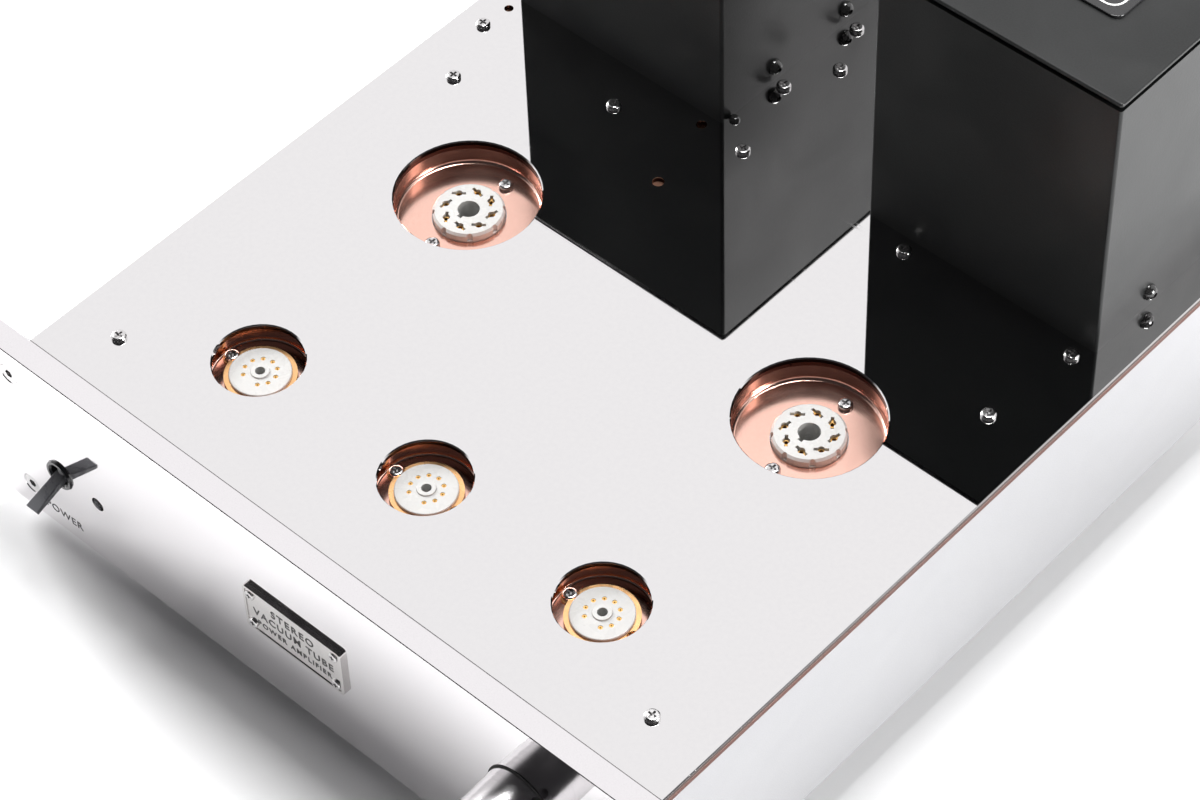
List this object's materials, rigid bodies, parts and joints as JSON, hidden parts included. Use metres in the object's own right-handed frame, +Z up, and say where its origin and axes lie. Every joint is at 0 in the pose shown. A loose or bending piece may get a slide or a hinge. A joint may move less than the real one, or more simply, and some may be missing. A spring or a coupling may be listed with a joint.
{
  "type": "tube amplifier",
  "caption": "Tube power amplifier with a mirror deck, sunk ceramic tube sockets in copper wells, covered transformers, a thick front panel, toggle switch and volume knob.",
  "frame": {"origin": "on the bench, under the middle of the overall box", "axes": "+X to the right seen from the front, +Y to the rear, +Z up; the front panel faces -Y"},
  "size_m": [0.336, 0.4109, 0.213],
  "materials": {
    "mirror_steel": "mirror polished sheet",
    "copper": "bright rolled copper",
    "satin_aluminium": "fine bead-blasted satin",
    "polished_aluminium": "fine polished, thick plate",
    "ceramic": "white fired ceramic",
    "gold": "gold plated",
    "steel": "plated steel",
    "black_coat": "fine textured black powder coat",
    "black_gloss": "gloss black",
    "black_screw": "black lacquered",
    "nickel_plate": "brushed nickel plate",
    "lever_grey": "satin dark grey",
    "turned_aluminium": "fine turned",
    "felt": "black felt",
    "lamp_lens": "clear lens",
    "rubber": "matte black rubber",
    "black_plastic": "moulded black",
    "red_plastic": "moulded red",
    "brass_metal": "turned brass",
    "lamination": "stacked steel laminations",
    "winding_tape": "wrapped winding paper",
    "board": "green laminate",
    "cap_sleeve": "shrink sleeve"
  },
  "bodies": {
    "chassis": {"top_plate": "mirror_steel", "copper_chassis": "copper", "side_panel_left": "satin_aluminium", "side_panel_right": "satin_aluminium", "front_panel": "polished_aluminium", "front_subpanel": "satin_aluminium", "rear_panel": "satin_aluminium", "bottom_plate": "satin_aluminium", "octal_well_left": "copper", "octal_well_right": "copper", "noval_well_left": "copper", "noval_well_centre": "copper", "noval_well_right": "copper", "octal_socket_left": "ceramic", "octal_socket_right": "ceramic", "noval_socket_left": "ceramic", "noval_socket_centre": "ceramic", "noval_socket_right": "ceramic", "octal_contacts": "gold", "noval_contacts": "gold", "octal_saddles": "steel", "noval_saddles": "gold", "socket_screws": "steel", "top_plate_screws": "steel", "transformer_cover_left": "black_coat", "transformer_cover_right": "black_coat", "cover_lid_left": "black_coat", "cover_lid_right": "black_coat", "cover_label_left": "black_gloss", "cover_label_right": "black_gloss", "cover_screws": "black_screw", "cover_base_frames": "steel", "transformer_core_left": "lamination", "transformer_core_right": "lamination", "transformer_coil_left": "winding_tape", "transformer_coil_right": "winding_tape", "transformer_bolts": "steel", "nameplate": "nickel_plate", "nameplate_screws": "steel", "panel_bolts": "steel", "switch_body": "black_plastic", "switch_bezel": "black_gloss", "potentiometer_body": "steel", "knob_washer": "felt", "pilot_lamp": "lamp_lens", "feet": "satin_aluminium", "foot_pads": "rubber", "mains_inlet": "black_plastic", "rca_jack": "gold", "post_bases": "brass_metal", "circuit_board": "board", "capacitors": "cap_sleeve"},
    "switch_lever": {"switch_lever": "lever_grey"},
    "volume_knob": {"volume_knob": "turned_aluminium", "potentiometer_shaft": "steel"},
    "fuse_drawer": {"fuse_drawer": "black_plastic"},
    "post_insert_red": {"post_insert_red": "brass_metal"},
    "post_cap_red": {"post_cap_red": "red_plastic"},
    "post_insert_black": {"post_insert_black": "brass_metal"},
    "post_cap_black": {"post_cap_black": "black_plastic"}
  },
  "joints": [
    {"name": "switch_throw", "type": "hinge", "parent": "chassis", "child": "switch_lever", "pos_m": [-0.1303, -0.1742, 0.0421], "axis": [-1, 0, 0], "range_deg": [0, 39]},
    {"name": "volume_turn", "type": "hinge", "parent": "chassis", "child": "volume_knob", "pos_m": [0.092, -0.1777, 0.054], "axis": [0, 1, 0], "range_deg": [0, 300]},
    {"name": "fuse_slide", "type": "slide", "parent": "chassis", "child": "fuse_drawer", "axis": [0, 1, 0], "range_m": [0, 0.015]},
    {"name": "post_lift_red", "type": "slide", "parent": "chassis", "child": "post_insert_red", "axis": [0, 1, 0], "range_m": [0, 0.0035]},
    {"name": "post_turn_red", "type": "hinge", "parent": "post_insert_red", "child": "post_cap_red", "pos_m": [0.06, 0.1935, 0.056], "axis": [0, 1, 0], "range_deg": [0, 1800]},
    {"name": "post_lift_black", "type": "slide", "parent": "chassis", "child": "post_insert_black", "axis": [0, 1, 0], "range_m": [0, 0.0035]},
    {"name": "post_turn_black", "type": "hinge", "parent": "post_insert_black", "child": "post_cap_black", "pos_m": [0.082, 0.1935, 0.056], "axis": [0, 1, 0], "range_deg": [0, 1800]}
  ],
  "couplings": [
    {"joint": "post_turn_red", "follows": "post_lift_red", "rad_per_m": 8976},
    {"joint": "post_turn_black", "follows": "post_lift_black", "rad_per_m": 8976}
  ]
}
